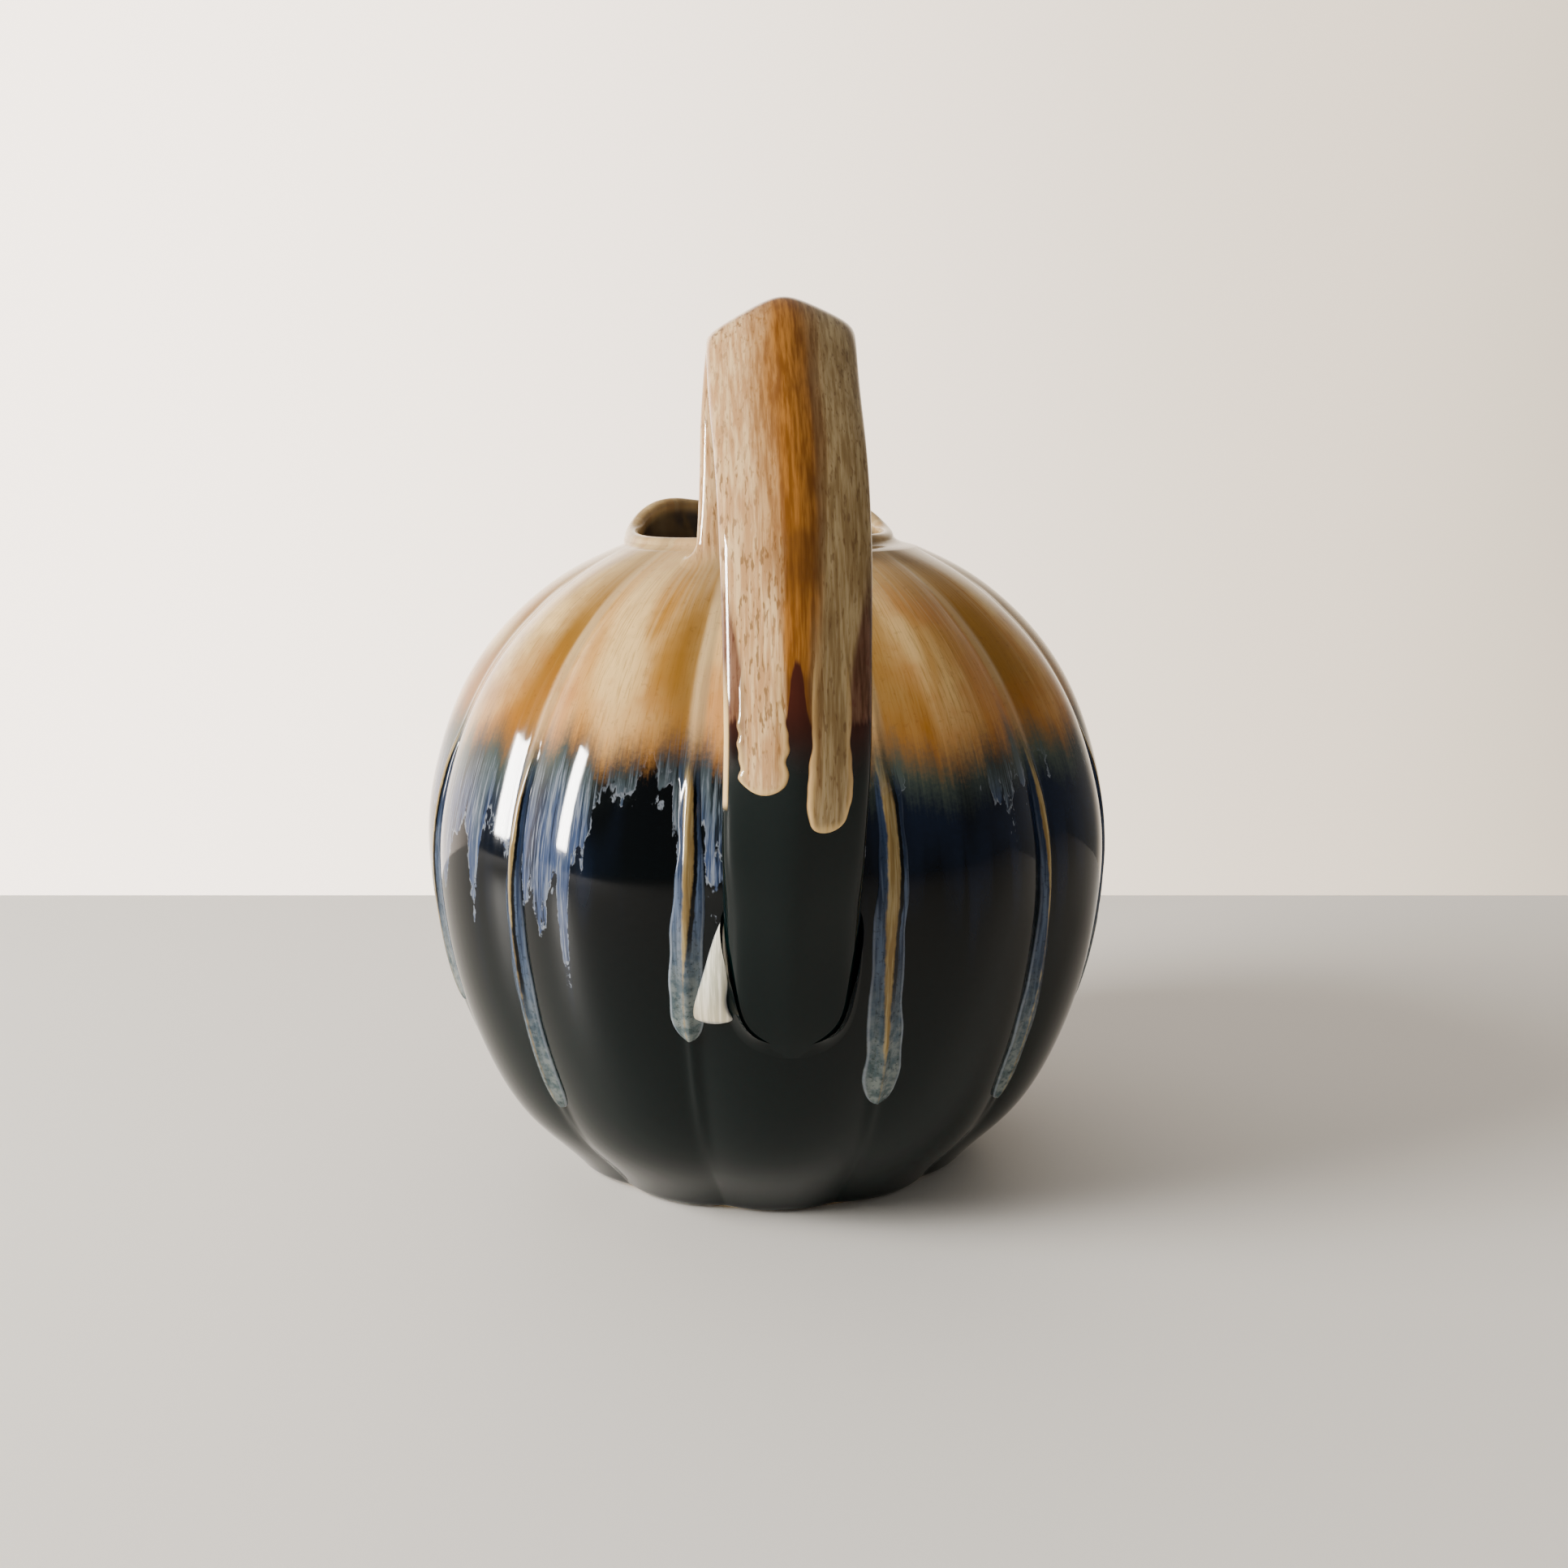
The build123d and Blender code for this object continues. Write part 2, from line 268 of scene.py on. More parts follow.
def wall_rows():
    """The belly's outside, from the foot's outer edge to the shoulder."""
    way = np.concatenate([np.linspace(0, 0.1, 14)[:-1], np.linspace(0.1, WALL_WAY[-1], 178)])
    line = spline(WALL_WAY, WALL_POINTS, way)
    angle = column_angles()[None, :]
    fall = groove_depth(line[:, 1:]) * lobe_fall(angle)
    wobble = WOBBLE * HAND_WOBBLE(angle, line[:, 1:] * 3) * smooth_step(line[:, 1:], 0.03, 0.3)
    wobble = wobble * (1 - smooth_step(line[:, 1:], 1.6, NECK_Z))
    wobble = wobble + bead(angle, line[:, :1], line[:, 1:])
    return placed(angle, line[:, :1] - fall + wobble, line[:, 1:])


def rim_height(forward):
    """Height of the rim, by how far round to the pouring side it is: -1 at the handle, 1 opposite."""
    knots, heights = zip(*RIM_HEIGHTS)
    return spline(knots, heights, forward.ravel()).reshape(forward.shape)


def mouth_rows():
    """The collar: in from the shoulder, up, over the rim and down into the neck."""
    angle = column_angles()
    forward = -np.cos(angle)
    lip = LIP_PULL * smooth_step(forward, 0.75, 1.0)

    def ring(radius, height):
        return placed(angle, radius + lip, height) + np.array(RIM_MIDDLE)

    top = rim_height(forward) + 0.0035 * np.sin(2 * angle + 0.6)
    roll = RIM_WALL / 2
    start = placed(angle, NECK_R - groove_depth(NECK_Z) * lobe_fall(angle), NECK_Z)
    leave = placed(angle, -0.027, 0.009)
    outer = ring(RIM_R + roll, top - roll)
    stand = smooth_step(top - NECK_Z, 0.03, 0.10)
    arrive = placed(angle, -0.016 * (1 - stand) + 0.004 * stand, 0.010 + 0.050 * stand)
    rows = []
    for t in np.linspace(0, 1, COLLAR_ROWS):
        rows.append(
            (1 - t) ** 3 * start
            + 3 * (1 - t) ** 2 * t * (start + leave)
            + 3 * (1 - t) * t**2 * (outer - arrive)
            + t**3 * outer
        )
    for turn in np.linspace(0, math.pi, ROLL_ROWS + 1)[1:]:
        rows.append(ring(RIM_R + roll * math.cos(turn), top - roll + roll * math.sin(turn) * 0.9))
    throat = placed(angle, THROAT_R, THROAT_Z)
    inner = rows[-1]
    drop = np.array([0, 0, -0.04])
    for t in np.linspace(0, 1, THROAT_ROWS + 1)[1:]:
        rows.append((1 - t) ** 2 * inner + 2 * (1 - t) * t * (inner + drop) + t**2 * throat)
    return np.stack(rows)


def cavity_rows():
    """The inside, from the throat down to the middle of the floor."""
    line = np.array([
        (THROAT_R, THROAT_Z), (0.47, 1.70), (0.64, 1.575), (0.80, 1.38), (0.895, 1.17), (0.925, 0.98),
        (0.90, 0.70), (0.82, 0.42), (0.70, 0.22), (0.56, 0.125), (0.40, 0.092), (0.20, 0.085),
        (0.012, 0.085),
    ])
    way = along(line)
    line = spline(way, line, np.linspace(0, way[-1], 46))
    return placed(column_angles()[None, :], line[:, :1], line[:, 1:])


def grid_normals(points, round_columns, flip=False):
    """Unit normals of a grid, by the slopes along its rows and columns."""
    down = np.gradient(points, axis=0)
    if round_columns:
        across = (np.roll(points, -1, axis=1) - np.roll(points, 1, axis=1)) / 2
    else:
        across = np.gradient(points, axis=1)
    normals = np.cross(down, across) if flip else np.cross(across, down)
    return normals / np.maximum(np.linalg.norm(normals, axis=2, keepdims=True), 1e-12)


def quads_of(index):
    """The four corners of every cell between neighbouring rows and columns."""
    corners = index[:-1, :-1], index[:-1, 1:], index[1:, 1:], index[1:, :-1]
    return np.stack(corners, -1).reshape(-1, 4)


def grid_piece(name, points, round_columns=False, flip=False, values=None, normals=None):
    """A mesh from a grid of points in belly radii, with its normals and numbers at its points."""
    rows, columns, _ = points.shape
    if normals is None:
        normals = grid_normals(points, round_columns, flip)
    index = np.arange(rows * columns).reshape(rows, columns)
    if round_columns:
        index = np.concatenate([index, index[:, :1]], axis=1)
    quads = quads_of(index)
    if flip:
        quads = quads[:, ::-1]
    mesh = bpy.data.meshes.new(name)
    mesh.from_pydata((points.reshape(-1, 3) * BELLY).tolist(), [], quads.tolist())
    for key, numbers in (values or {}).items():
        layer = mesh.attributes.new(key, "FLOAT", "POINT")
        layer.data.foreach_set("value", np.broadcast_to(numbers, (rows, columns)).astype(np.float32).ravel())
    mesh.polygons.foreach_set("use_smooth", [True] * len(mesh.polygons))
    mesh.normals_split_custom_set_from_vertices(normals.reshape(-1, 3).tolist())
    piece = bpy.data.objects.new(name, mesh)
    bpy.context.scene.collection.objects.link(piece)
    return piece


def fit(piece, node, material):
    """Hang a piece on the root in place of a part of the solid model."""
    piece.data.materials.append(material)
    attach(piece, "root")
    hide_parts(node)


# ---------------------------------------------------------------- where the glazes meet

def drip_set(seed, count, shortest, longest):
    """Drips spread round the jug: azimuth, half width and length of each."""
    rng = np.random.default_rng(seed)
    spread = (np.arange(count) + rng.uniform(-0.35, 0.35, count)) * 2 * math.pi / count - math.pi
    return spread, rng.uniform(0.016, 0.034, count), rng.uniform(shortest, longest, count)


SHORT_DRIPS = drip_set(5, 58, 0.02, 0.11)
LONG_DRIPS = drip_set(8, 17, 0.08, 0.24)


def glaze_lines(angle):
    """Heights where the tan glaze ends and where the blue streaks end, round the jug."""
    tan_line = 1.325 + 0.022 * LINE_WOBBLE(angle, 0.0) + 0.035 * lobe_fall(angle, 0.2)
    blue_line = 1.15 + 0.02 * LINE_WOBBLE(angle, 5.0)
    for centres, halves, lengths in (SHORT_DRIPS, LONG_DRIPS):
        for centre, half, length in zip(centres, halves, lengths):
            off = (angle - centre + math.pi) % (2 * math.pi) - math.pi
            reach = dome(off / half) ** 0.7
            blue_line = np.minimum(blue_line, 1.15 - length * reach)
    return tan_line, blue_line


def line_values(points, inside=0.0):
    """Numbers for the glaze: where it changes, and the place between the nearest groove and crest."""
    angle = np.arctan2(points[..., 0], -points[..., 1])
    tan_line, blue_line = glaze_lines(angle)
    off = groove_offset(angle)
    return {
        "tan_line": tan_line, "blue_line": blue_line, "inside": inside,
        "lane": np.abs(off), "far_side": np.sin(2 * math.pi * off / LOBE),
    }


# ---------------------------------------------------------------- strap handle

def strap_lines():
    """The strap's middle line, its outward direction and its sizes, from root to tongue."""
    table = np.array(STRAP)
    way = along(table[:, :2])
    at = np.linspace(0, way[-1], STRAP_ROWS)
    rows = spline(way, table, at)
    ahead = np.gradient(rows[:, :2], axis=0)
    ahead /= np.linalg.norm(ahead, axis=1, keepdims=True)
    middle = np.stack([np.zeros(len(rows)), -rows[:, 0], rows[:, 1]], -1)
    outward = np.stack([np.zeros(len(rows)), ahead[:, 1], ahead[:, 0]], -1)
    return middle, outward, rows[:, 2], rows[:, 3], rows[:, 4]


def round_corners(corners, radii, steps, straight):
    """A closed outline with rounded corners, always with the same number of points."""
    count = len(corners)
    starts, ends, arcs = [], [], []
    for i in range(count):
        before, here, after = corners[i - 1], corners[i], corners[(i + 1) % count]
        back = (before - here) / np.linalg.norm(before - here)
        on = (after - here) / np.linalg.norm(after - here)
        half = math.acos(max(-1, min(1, float(back @ on)))) / 2
        reach = min(radii[i] / math.tan(half), 0.45 * np.linalg.norm(before - here),
                    0.45 * np.linalg.norm(after - here))
        radius = reach * math.tan(half)
        bisector = (back + on) / np.linalg.norm(back + on)
        centre = here + bisector * radius / math.sin(half)
        first, last = here + back * reach - centre, here + on * reach - centre
        turn = math.pi - 2 * half
        arc = []
        for step in range(steps + 1):
            t = step / steps
            spoke = first * math.sin((1 - t) * turn) + last * math.sin(t * turn)
            arc.append(centre + spoke / math.sin(turn))
        arcs.append(arc)
    outline = []
    for i in range(count):
        outline += arcs[i]
        first, last = arcs[i][-1], arcs[(i + 1) % count][0]
        outline += [first + (last - first) * k / straight for k in range(1, straight)]
    return np.array(outline)


def strap_section(half, rise, depth, inner, set_back):
    """Gabled outline of the strap: ridge, two shoulders, and the inner face."""
    corners = np.array([
        (0, rise * 1.03), (half * 1.02, 0.0), (half * inner, -depth * 1.02),
        (-half * inner, -depth * 1.02), (-half * 1.02, -set_back),
    ])
    outline = ring_smooth(round_corners(corners, SECTION_RADII, 9, 11), 24)
    outline[:, 0] *= half / np.abs(outline[:, 0]).max()
    return outline


def strap_grid():
    """The strap's surface, and how far across it each point is: -1 at the left edge, 1 at the right."""
    middle, outward, half, rise, depth = strap_lines()
    tongue = smooth_step(-middle[:, 2], -1.15, -0.95) * smooth_step(-middle[:, 1], 0.8, 0.9)
    inner = 0.80 + 0.26 * tongue
    low = smooth_step(-middle[:, 2], -1.45, -1.10) * smooth_step(-middle[:, 1], 0.6, 0.8)
    rows, across = [], []
    for i in range(len(middle)):
        set_back = LEFT_EDGE_SET_BACK * (1 - low[i])
        outline = strap_section(half[i], rise[i], depth[i], inner[i], set_back)
        rows.append(middle[i] + outline[:, :1] * np.array([1.0, 0, 0]) + outline[:, 1:] * outward[i])
        across.append(outline[:, 0] / half[i] + 0.045)
    points, across = np.stack(rows), np.stack(across)
    # the strap sways a little from side to side on its way from root to tongue
    way = np.linspace(0, 1, len(points))[:, None]
    points[..., 0] -= 0.018 * smooth_step(-way, -0.26, -0.12)
    points[..., 0] += 0.014 * (1 - 0.7 * low[:, None]) + 0.003 * np.sin(7 * way)
    points[..., 0] -= 0.015 * np.exp(-(((way - 0.33) / 0.13) ** 2))
    return points, across


def strap_line(across):
    """Height where the tan glaze ends, across the strap's outer face."""
    line = np.full_like(across, 1.60)
    line = np.minimum(line, 1.62 - 0.16 * smooth_step(np.abs(across), 0.02, 0.16))
    line = np.minimum(line, 1.62 - 0.14 * smooth_step(across, 0.84, 1.0))
    line = np.minimum(line, 1.62 - 0.36 * smooth_step(-across, 0.93, 1.0))
    return line


# ---------------------------------------------------------------- joints of the handle

def tree_of(*grids):
    """A search tree over grids that go all the way round."""
    corners, faces = [], []
    for grid in grids:
        rows, columns, _ = grid.shape
        index = np.arange(rows * columns).reshape(rows, columns) + len(corners)
        index = np.concatenate([index, index[:, :1]], axis=1)
        corners += grid.reshape(-1, 3).tolist()
        faces += quads_of(index).tolist()
    return BVHTree.FromPolygons(corners, faces)


def meeting(strap, strap_normals, tree, rows):
    """Where each line along the strap first enters the clay: point, both normals, column and row."""
    found = []
    for column in range(strap.shape[1]):
        for here, there in zip(rows[:-1], rows[1:]):
            start, end = Vector(strap[here, column]), Vector(strap[there, column])
            step = end - start
            spot, normal, _, _ = tree.ray_cast(start, step.normalized(), step.length * 1.001)
            if spot is not None:
                facing = -normal if normal.dot(step) > 0 else normal
                found.append((spot, strap_normals[here, column], facing, column, here))
                break
    return found


def line_above(contacts, strap, strap_normals, rows_up):
    """A smooth line round the strap, so many rows before it enters the clay."""
    _, _, _, column, row = (np.array(part) for part in zip(*contacts))
    row = ring_smooth(row.astype(float), 40) + rows_up
    low = np.floor(row).astype(int)
    part = (row - low)[:, None]
    spot = strap[low, column] * (1 - part) + strap[low + 1, column] * part
    return spot - strap_normals[low, column] * JOINT_SINK


def fillet_grid(contacts, tree, reach, smoothing, edge=None):
    """A hollow fillet between the strap and the clay along a closed line of contact."""
    points, first, second, _, _ = (np.array(part) for part in zip(*contacts))
    first, second = ring_smooth(first, 6 * smoothing), ring_smooth(second, 6 * smoothing)
    points = ring_smooth(points, 3 * smoothing)
    first /= np.linalg.norm(first, axis=1, keepdims=True)
    second /= np.linalg.norm(second, axis=1, keepdims=True)
    facing = (first * second).sum(1, keepdims=True)
    up_strap = second - facing * first
    up_strap /= np.linalg.norm(up_strap, axis=1, keepdims=True)
    out_clay = first - facing * second
    out_clay /= np.linalg.norm(out_clay, axis=1, keepdims=True)
    on_strap = points + up_strap * reach - first * TONGUE_SINK if edge is None else edge
    feet = []
    for spot in points + out_clay * reach:
        near, normal, _, _ = tree.find_nearest(Vector(spot))
        inward = -normal if normal.dot(near) > 0 else normal
        feet.append(near + inward * JOINT_SINK)
    on_clay = np.array(feet)
    rows = []
    for t in np.linspace(0, 1, 11):
        rows.append((1 - t) ** 2 * on_strap + 2 * (1 - t) * t * points + t**2 * on_clay)
    grid = np.stack(rows)
    flip = float((grid_normals(grid, True) * (first + second)).sum()) < 0
    return grid, flip


# ---------------------------------------------------------------- runs, drips and pool of glaze

def tip_rows(count, tip_share):
    """Places from 0 to 1 down a run, close together near its rounded tip."""
    body = np.linspace(0, 1 - tip_share, count - 22)
    return np.concatenate([body, 1 - tip_share * (1 - np.sin(np.linspace(0, math.pi / 2, 23)[1:]))])


def run_widths(place, length, half, narrow, tip):
    """Half width of a run down its length: a slow swelling, then a tip as long as tip times half."""
    width = half * (narrow + (1 - narrow) * smooth_step(place, 0.1, 0.85))
    from_tip = (1 - place) * length
    return width * dome(1 - np.minimum(from_tip / (tip * half), 1))


def groove_run(name, seed, azimuth_degrees, end, half_mm, core_reach):
    """One run: a patch over its groove, proud in the middle and down to the belly at its edges."""
    half = half_mm * MM
    length = RUN_TOP - end
    place = tip_rows(170, RUN_TIP * half / length)[:, None]
    height = RUN_TOP - place * length
    wobble = waves(seed, 5, 3, 15)
    width = run_widths(place, length, half, 0.62, RUN_TIP)
    side = np.linspace(-1, 1, 25)[None, :]
    ripple = 0.09 * wobble(0.0, place * 2) + 0.05 * wobble(2.0 + np.sign(side), place * 7)
    width = np.maximum(width * (1 + ripple), 0.0003)
    middle = math.radians(azimuth_degrees) + 0.010 * wobble(1.0, place * 1.2)
    angle = middle + side * width / crest_radius(height)
    bead = 0.45 + 0.55 * smooth_step(place, 0.25, 0.9)
    cap = dome(side)
    proud = 0.80 * MM * bead * smooth_step(place, 0.02, 0.3) * cap * np.minimum(width / half, 1)
    filled = cap * smooth_step(place, 0.0, 0.2)
    radius = belly_radius(angle, height, 0.20) * filled + belly_radius(angle, height) * (1 - filled)
    points = placed(angle, radius + proud - GLAZE_SINK, height)
    core = 0.29 * (1 - smooth_step(place, 0.25, core_reach)) + 0.11
    core = core * (1 - smooth_step(place, core_reach, core_reach + 0.08))
    core = core - np.abs(side + 0.10 + 0.10 * wobble(2.0, place))
    values = line_values(points)
    values.update(side=side, place=place, core=core)
    return grid_piece(name, points, flip=True, values=values)


def strap_patch(points, normals, row_at, column_at):
    """Points and normals on the strap's grid at fractional rows and columns."""
    row_low = np.clip(np.floor(row_at).astype(int), 0, points.shape[0] - 2)
    column_low = np.clip(np.floor(column_at).astype(int), 0, points.shape[1] - 2)
    down, over = (row_at - row_low)[..., None], (column_at - column_low)[..., None]

    def blend(grid):
        top = grid[row_low, column_low] * (1 - over) + grid[row_low, column_low + 1] * over
        low = grid[row_low + 1, column_low] * (1 - over) + grid[row_low + 1, column_low + 1] * over
        return top * (1 - down) + low * down

    normal = blend(normals)
    return blend(points), normal / np.linalg.norm(normal, axis=-1, keepdims=True)


def strap_drip(name, points, normals, across, middle, half, end, seed):
    """A thick drip down the strap's outer face."""
    length = DRIP_TOP - end
    reach = half * DRIP_STRAP_HALF
    place = tip_rows(90, reach / length)[:, None]
    wobble = waves(seed, 6, 3, 16)
    width = run_widths(place, length, reach, 0.80, 1.0) / DRIP_STRAP_HALF
    width = np.maximum(width * (1 + 0.07 * wobble(0.0, place * 2.5)), 0.002)
    side = np.linspace(-1, 1, 25)[None, :]
    width = width * (1 + 0.045 * wobble(3.0 + np.sign(side), place * 7) * smooth_step(place, 0.3, 0.7))
    wanted = middle + side * width + 0.02 * wobble(1.0, place * 1.5)
    height = np.broadcast_to(DRIP_TOP - place * length, wanted.shape)
    # the strap's rows by height on its front, and its columns by place across its outer face
    crest = int(np.argmax(points[:, 0, 2]))
    rows = np.arange(crest, points.shape[0])
    row_at = np.interp(-height, -points[crest:, 0, 2], rows)
    count, half_way = points.shape[1], rows[len(rows) // 2]
    round_strap = np.arange(-count // 2, count // 2) % count
    front = round_strap[normals[half_way, round_strap, 1] < -0.35]
    if across[half_way, front[0]] > across[half_way, front[-1]]:
        front = front[::-1]
    column_at = np.interp(wanted, across[half_way, front], np.arange(len(front)))
    base, normal = strap_patch(points[:, front], normals[:, front], row_at, column_at)
    cap = dome(side)
    swelling = (0.35 + 0.65 * smooth_step(place, 0.3, 0.9)) * smooth_step(place, 0.0, 0.35)
    proud = 0.85 * MM * swelling * cap * np.minimum(width * DRIP_STRAP_HALF / reach, 1)
    grid = base + normal * (proud - GLAZE_SINK)[..., None]
    values = {"side": side, "place": place, "tan_line": 0.9, "across": wanted}
    return grid_piece(name, grid, flip=True, values=values)


# The cream pool's two edges: share of the way down and azimuth
POOL_LEFT = [
    (0.0, -0.157), (0.2, -0.184), (0.4, -0.205), (0.6, -0.224), (0.74, -0.240), (0.86, -0.254),
    (0.93, -0.257), (0.97, -0.246), (1.0, -0.215),
]
POOL_RIGHT = [(0.0, -0.151), (0.3, -0.150), (0.6, -0.150), (0.9, -0.148), (0.97, -0.156), (1.0, -0.190)]


def cream_pool():
    """A pale wedge of thick glaze on the belly, narrow above and broad at its foot."""
    place = np.sin(np.linspace(0, math.pi / 2, 70))[:, None]
    side = np.linspace(-1, 1, 33)[None, :]
    height = 0.975 - 0.305 * place
    left = spline(*zip(*POOL_LEFT), place.ravel())[:, None]
    right = spline(*zip(*POOL_RIGHT), place.ravel())[:, None]
    angle = (left + right) / 2 + side * (right - left) / 2
    cap = dome(side) * dome((2 * place - 1) ** 7)
    proud = (1.25 * MM * smooth_step(place, 0.0, 0.5) + 0.25 * MM) * cap
    points = placed(angle, belly_radius(angle, height, 0.15) + proud - GLAZE_SINK, height)
    values = line_values(points)
    values.update(side=side, place=place)
    return grid_piece("cream_pool", points, flip=True, values=values)


def foot():
    """The bare clay underside: a disc, rounded at its edge and worn a little uneven."""
    outer, top, edge = 0.574, 0.020, 0.008
    profile = [(outer, top)]
    for turn in np.linspace(0, math.pi / 2, 7):
        profile.append((outer - edge + edge * math.cos(turn), edge - edge * math.sin(turn)))
    for radius in (0.50, 0.42, 0.34, 0.26, 0.18, 0.10, 0.02):
        profile.append((radius, 0.0))
    profile = np.array(profile)
    angle = column_angles()[None, :]
    wear = 0.0012 * LINE_WOBBLE(angle, 2.0) * (profile[:, 1:] > 0.003)
    points = placed(angle, profile[:, :1] + wear, profile[:, 1:])
    return grid_piece("bare_foot", points, round_columns=True)


# ---------------------------------------------------------------- nodes

GLOSS = 0.16


def colour(red, green, blue):
    """Linear colour from the usual 0 to 255 screen values."""
    def linear(value):
        value /= 255
        return value / 12.92 if value <= 0.04045 else ((value + 0.055) / 1.055) ** 2.4
    return (linear(red), linear(green), linear(blue), 1.0)


class Paint:
    """Short calls for the nodes of one material."""

    def __init__(self, name):
        self.material = bpy.data.materials.new(name)
        self.material.use_nodes = True
        self.tree = self.material.node_tree
        self.shader = self.tree.nodes["Principled BSDF"]
        place = self.node("ShaderNodeTexCoord").outputs["Object"]
        split = self.node("ShaderNodeSeparateXYZ")
        self.link(place, split.inputs[0])
        self.place = place
        self.x, self.y, self.z = split.outputs
        self.height = self.math("DIVIDE", self.z, BELLY)

    def node(self, kind, **settings):
        made = self.tree.nodes.new(kind)
        for key, value in settings.items():
            setattr(made, key, value)
        return made

    def link(self, source, socket):
        self.tree.links.new(source, socket)

    def put(self, value, socket):
        if isinstance(value, bpy.types.NodeSocket):
            self.link(value, socket)
        else:
            socket.default_value = value

    def math(self, operation, first, second=0.0, third=0.0):
        made = self.node("ShaderNodeMath", operation=operation)
        for value, socket in zip((first, second, third), made.inputs):
            self.put(value, socket)
        return made.outputs[0]

    def add(self, first, second):
        return self.math("ADD", first, second)

    def less(self, first, second):
        return self.math("SUBTRACT", first, second)

    def times(self, first, second):
        return self.math("MULTIPLY", first, second)

    def sway(self, noise, reach):
        return self.times(self.less(noise, 0.5), reach)

    def step(self, value, low, high, start=0.0, end=1.0):
        made = self.node("ShaderNodeMapRange", interpolation_type="SMOOTHSTEP")
        for number, socket in zip((value, low, high, start, end), made.inputs[:5]):
            self.put(number, socket)
        return made.outputs[0]

    def mix(self, share, first, second):
        made = self.node("ShaderNodeMix", data_type="RGBA")
        self.put(share, made.inputs["Factor"])
        self.put(first, made.inputs[6])
        self.put(second, made.inputs[7])
        return made.outputs[2]

    def value(self, name):
        return self.node("ShaderNodeAttribute", attribute_name=name).outputs["Fac"]

    def stretched(self, x, y, z):
        made = self.node("ShaderNodeMapping")
        made.inputs["Scale"].default_value = (x, y, z)
        self.link(self.place, made.inputs["Vector"])
        return made.outputs[0]

    def streaks(self, stretch, scale, detail=3.0, rough=0.55, shift=0.0, warp=0.0):
        """Noise drawn out up the jug, the same at the back as at the front."""
        flat = self.node("ShaderNodeCombineXYZ")
        self.put(self.x, flat.inputs[0])
        self.put(self.y, flat.inputs[1])
        unit = self.node("ShaderNodeVectorMath", operation="NORMALIZE")
        self.link(flat.outputs[0], unit.inputs[0])
        split = self.node("ShaderNodeSeparateXYZ")
        self.link(unit.outputs[0], split.inputs[0])
        joined = self.node("ShaderNodeCombineXYZ")
        self.link(split.outputs[0], joined.inputs[0])
        self.link(split.outputs[1], joined.inputs[1])
        self.put(self.add(self.times(self.height, stretch), shift), joined.inputs[2])
        return self.noise(joined.outputs[0], scale, detail, rough, warp)

    def noise(self, vector, scale, detail=3.0, rough=0.55, warp=0.0):
        made = self.node("ShaderNodeTexNoise")
        self.put(vector, made.inputs["Vector"])
        made.inputs["Scale"].default_value = scale
        made.inputs["Detail"].default_value = detail
        made.inputs["Roughness"].default_value = rough
        made.inputs["Distortion"].default_value = warp
        return made.outputs["Fac"]

    def bump(self, height, strength, distance_mm):
        made = self.node("ShaderNodeBump")
        made.inputs["Strength"].default_value = strength
        made.inputs["Distance"].default_value = distance_mm * 1e-3
        self.link(height, made.inputs["Height"])
        self.link(made.outputs[0], self.shader.inputs["Normal"])

    def finish(self, base, roughness, level=GLOSS):
        self.put(base, self.shader.inputs["Base Color"])
        self.put(roughness, self.shader.inputs["Roughness"])
        self.shader.inputs["Specular IOR Level"].default_value = level
        return self.material


DARK = colour(2, 14, 14)
BLACK = colour(2, 4, 6)
SEA = colour(66, 76, 68)
NAVY = colour(22, 34, 58)
SLATE = colour(76, 88, 94)
BLUE = colour(57, 72, 104)
PALE_BLUE = colour(140, 148, 160)
TAN = colour(176, 126, 56)
OCHRE = colour(126, 88, 28)
CREAM = colour(222, 186, 124)
PEACH = colour(182, 122, 64)
GREY_CREAM = colour(180, 156, 116)
AMBER = colour(158, 92, 26)
UMBER = colour(78, 48, 26)
OXBLOOD = colour(58, 26, 18)
MAUVE = colour(92, 52, 44)
SPECKLE = colour(122, 92, 60)
AMBER_DEEP = colour(80, 48, 18)
POOL_SAND = colour(214, 192, 152)
CLAY_BROWN = colour(112, 88, 64)
PAPER = colour(232, 228, 222)

# Two ends of one glaze or clay, mixed by a noise
THROAT_BROWN = colour(86, 72, 58), colour(52, 42, 34)
RUN_BLUE = colour(40, 52, 72), colour(72, 86, 108)
RUN_GREY = colour(64, 78, 78), colour(114, 122, 118)
RUN_TAN = colour(122, 100, 60), colour(160, 142, 100)
CREAM_FACET = colour(178, 136, 92), colour(216, 182, 134)
AMBER_RIDGE = colour(106, 64, 22), colour(148, 98, 42)
# the strap's right facet in painted shade: its tan glaze greyed and darkened
SHADED_FACET = colour(130, 106, 70), colour(174, 152, 112)
POOL_CREAM = colour(186, 184, 162), colour(238, 234, 218)
CLAY = colour(150, 128, 100), colour(186, 166, 136)


